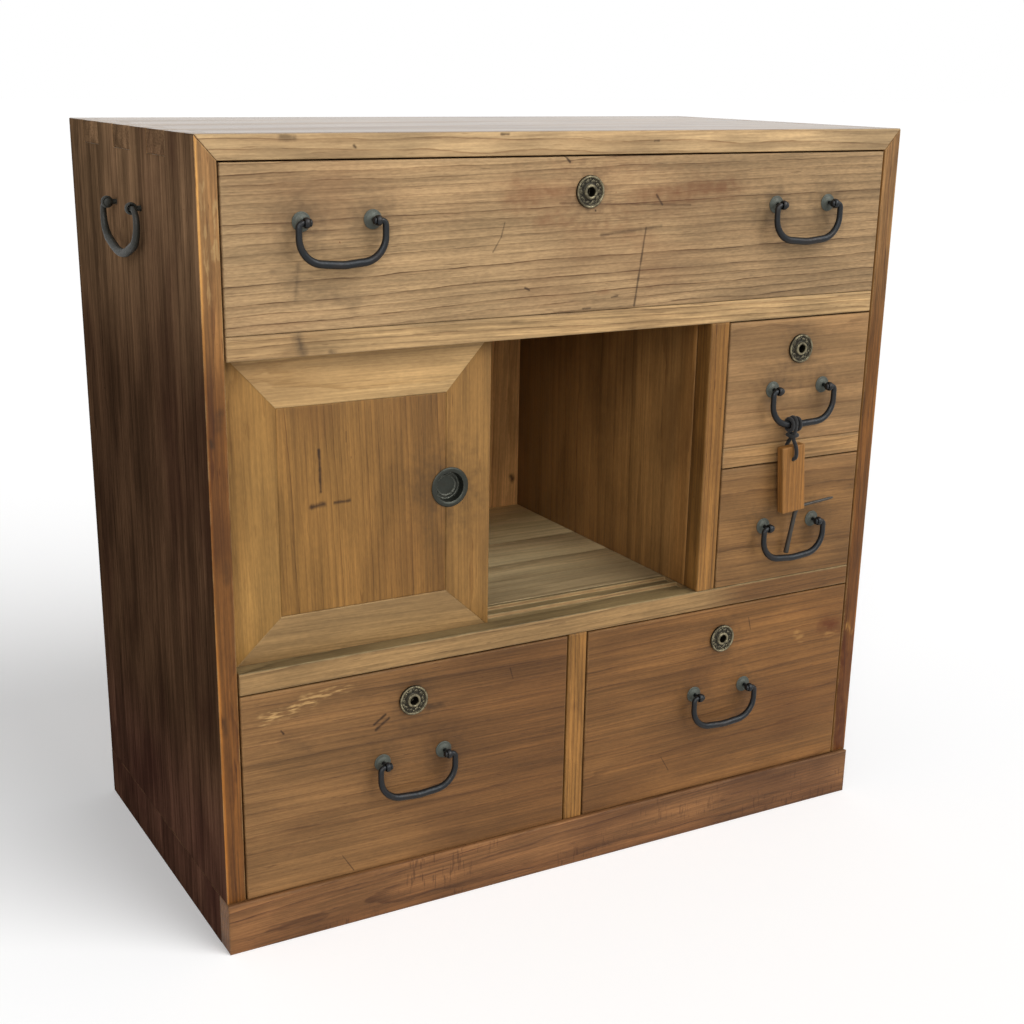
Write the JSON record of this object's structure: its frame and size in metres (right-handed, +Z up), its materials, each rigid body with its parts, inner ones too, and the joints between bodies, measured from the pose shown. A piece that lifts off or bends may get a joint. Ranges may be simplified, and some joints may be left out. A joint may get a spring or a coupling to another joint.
{
  "type": "tansu chest",
  "caption": "Low softwood chest with flush drawers behind iron bail pulls, round lock plates, sliding doors over a compartment, carrying handles and a plinth.",
  "frame": {"origin": "on the floor, under the middle of the chest's box with its pulls and side handles, without the key fob", "axes": "+Z up, +X to the chest's right as seen from the front, -Y out of the front"},
  "size_m": [0.6646, 0.3491, 0.636],
  "materials": {
    "carcass_wood": "worn oiled softwood",
    "side_wood": "dark smoked softwood",
    "drawer_wood": "worn oiled softwood",
    "inner_wood": "bare softwood",
    "door_wood": "worn oiled softwood",
    "iron": "blackened forged iron",
    "bronze": "dark patinated bronze",
    "tag_wood": "plain planed wood",
    "cord": "black twisted cord"
  },
  "bodies": {
    "carcass": {"top_board": "carcass_wood", "left_side": "side_wood", "right_side": "side_wood", "back_boards": "inner_wood", "bottom_boards": "inner_wood", "plinth_front": "carcass_wood", "plinth_frame": "carcass_wood", "upper_rail": "carcass_wood", "middle_rail": "carcass_wood", "small_rail": "carcass_wood", "upper_shelf": "inner_wood", "small_shelf": "inner_wood", "compartment_floor": "inner_wood", "upper_post": "carcass_wood", "lower_post": "carcass_wood", "upper_partition": "inner_wood", "lower_partition": "inner_wood", "drawer_guides": "inner_wood", "side_handle_posts": "iron"},
    "top_drawer": {"top_drawer_front": "drawer_wood", "top_drawer_box": "inner_wood", "top_drawer_pull_posts": "iron", "top_drawer_lock": "bronze"},
    "top_drawer_bolt": {"top_drawer_bolt": "iron"},
    "top_drawer_left_bail": {"top_drawer_left_bail": "iron"},
    "top_drawer_right_bail": {"top_drawer_right_bail": "iron"},
    "upper_small_drawer": {"upper_small_drawer_front": "drawer_wood", "upper_small_drawer_box": "inner_wood", "upper_small_drawer_pull_posts": "iron", "upper_small_drawer_lock": "bronze"},
    "upper_small_drawer_bolt": {"upper_small_drawer_bolt": "iron"},
    "upper_small_drawer_bail": {"upper_small_drawer_bail": "iron"},
    "lower_small_drawer": {"lower_small_drawer_front": "drawer_wood", "lower_small_drawer_box": "inner_wood", "lower_small_drawer_pull_posts": "iron"},
    "lower_small_drawer_bail": {"lower_small_drawer_bail": "iron"},
    "lower_left_drawer": {"lower_left_drawer_front": "drawer_wood", "lower_left_drawer_box": "inner_wood", "lower_left_drawer_pull_posts": "iron", "lower_left_drawer_lock": "bronze"},
    "lower_left_drawer_bolt": {"lower_left_drawer_bolt": "iron"},
    "lower_left_drawer_bail": {"lower_left_drawer_bail": "iron"},
    "lower_right_drawer": {"lower_right_drawer_front": "drawer_wood", "lower_right_drawer_box": "inner_wood", "lower_right_drawer_pull_posts": "iron", "lower_right_drawer_lock": "bronze"},
    "lower_right_drawer_bolt": {"lower_right_drawer_bolt": "iron"},
    "lower_right_drawer_bail": {"lower_right_drawer_bail": "iron"},
    "left_handle": {"left_side_handle": "iron"},
    "right_handle": {"right_side_handle": "iron"},
    "front_door": {"front_door_frame": "door_wood", "front_door_panel": "door_wood", "front_door_pull": "bronze"},
    "rear_door": {"rear_door_frame": "door_wood", "rear_door_panel": "door_wood", "rear_door_pull": "bronze"},
    "key_fob": {"key_cord": "cord", "key_tag": "tag_wood", "key": "iron"}
  },
  "joints": [
    {"name": "top_drawer_slide", "type": "slide", "parent": "carcass", "child": "top_drawer", "axis": [0, -1, 0], "range_m": [0, 0.22]},
    {"name": "top_drawer_bolt_slide", "type": "slide", "parent": "top_drawer", "child": "top_drawer_bolt", "axis": [0, 0, 1], "range_m": [0, 0.006]},
    {"name": "top_drawer_left_bail_swing", "type": "hinge", "parent": "top_drawer", "child": "top_drawer_left_bail", "pos_m": [-0.215, -0.168, 0.575], "axis": [-1, 0, 0], "range_deg": [-12, 100]},
    {"name": "top_drawer_right_bail_swing", "type": "hinge", "parent": "top_drawer", "child": "top_drawer_right_bail", "pos_m": [0.215, -0.168, 0.575], "axis": [-1, 0, 0], "range_deg": [-12, 100]},
    {"name": "upper_small_drawer_slide", "type": "slide", "parent": "carcass", "child": "upper_small_drawer", "axis": [0, -1, 0], "range_m": [0, 0.22]},
    {"name": "upper_small_drawer_bolt_slide", "type": "slide", "parent": "upper_small_drawer", "child": "upper_small_drawer_bolt", "axis": [0, 0, 1], "range_m": [0, 0.006]},
    {"name": "upper_small_drawer_bail_swing", "type": "hinge", "parent": "upper_small_drawer", "child": "upper_small_drawer_bail", "pos_m": [0.225, -0.168, 0.4155], "axis": [-1, 0, 0], "range_deg": [0, 100]},
    {"name": "lower_small_drawer_slide", "type": "slide", "parent": "carcass", "child": "lower_small_drawer", "axis": [0, -1, 0], "range_m": [0, 0.22]},
    {"name": "lower_small_drawer_bail_swing", "type": "hinge", "parent": "lower_small_drawer", "child": "lower_small_drawer_bail", "pos_m": [0.225, -0.168, 0.2905], "axis": [-1, 0, 0], "range_deg": [0, 100]},
    {"name": "lower_left_drawer_slide", "type": "slide", "parent": "carcass", "child": "lower_left_drawer", "axis": [0, -1, 0], "range_m": [0, 0.22]},
    {"name": "lower_left_drawer_bolt_slide", "type": "slide", "parent": "lower_left_drawer", "child": "lower_left_drawer_bolt", "axis": [0, 0, 1], "range_m": [0, 0.006]},
    {"name": "lower_left_drawer_bail_swing", "type": "hinge", "parent": "lower_left_drawer", "child": "lower_left_drawer_bail", "pos_m": [-0.155, -0.168, 0.139], "axis": [-1, 0, 0], "range_deg": [-12, 100]},
    {"name": "lower_right_drawer_slide", "type": "slide", "parent": "carcass", "child": "lower_right_drawer", "axis": [0, -1, 0], "range_m": [0, 0.22]},
    {"name": "lower_right_drawer_bolt_slide", "type": "slide", "parent": "lower_right_drawer", "child": "lower_right_drawer_bolt", "axis": [0, 0, 1], "range_m": [0, 0.006]},
    {"name": "lower_right_drawer_bail_swing", "type": "hinge", "parent": "lower_right_drawer", "child": "lower_right_drawer_bail", "pos_m": [0.158, -0.168, 0.139], "axis": [-1, 0, 0], "range_deg": [-12, 100]},
    {"name": "left_handle_swing", "type": "hinge", "parent": "carcass", "child": "left_handle", "pos_m": [-0.3275, 0.007, 0.576], "axis": [0, 1, 0], "range_deg": [-5, 100]},
    {"name": "right_handle_swing", "type": "hinge", "parent": "carcass", "child": "right_handle", "pos_m": [0.3275, 0.007, 0.576], "axis": [0, -1, 0], "range_deg": [-5, 100]},
    {"name": "front_door_slide", "type": "slide", "parent": "carcass", "child": "front_door", "axis": [1, 0, 0], "range_m": [-0.0034, 0.2025]},
    {"name": "rear_door_slide", "type": "slide", "parent": "carcass", "child": "rear_door", "axis": [1, 0, 0], "range_m": [0, 0.206]},
    {"name": "key_fob_swing", "type": "hinge", "parent": "upper_small_drawer_bail", "child": "key_fob", "pos_m": [0.215, -0.168, 0.3845], "axis": [-1, 0, 0], "range_deg": [-100, 0]}
  ],
  "couplings": [
    {"joint": "key_fob_swing", "follows": "upper_small_drawer_bail_swing", "ratio": -1}
  ]
}
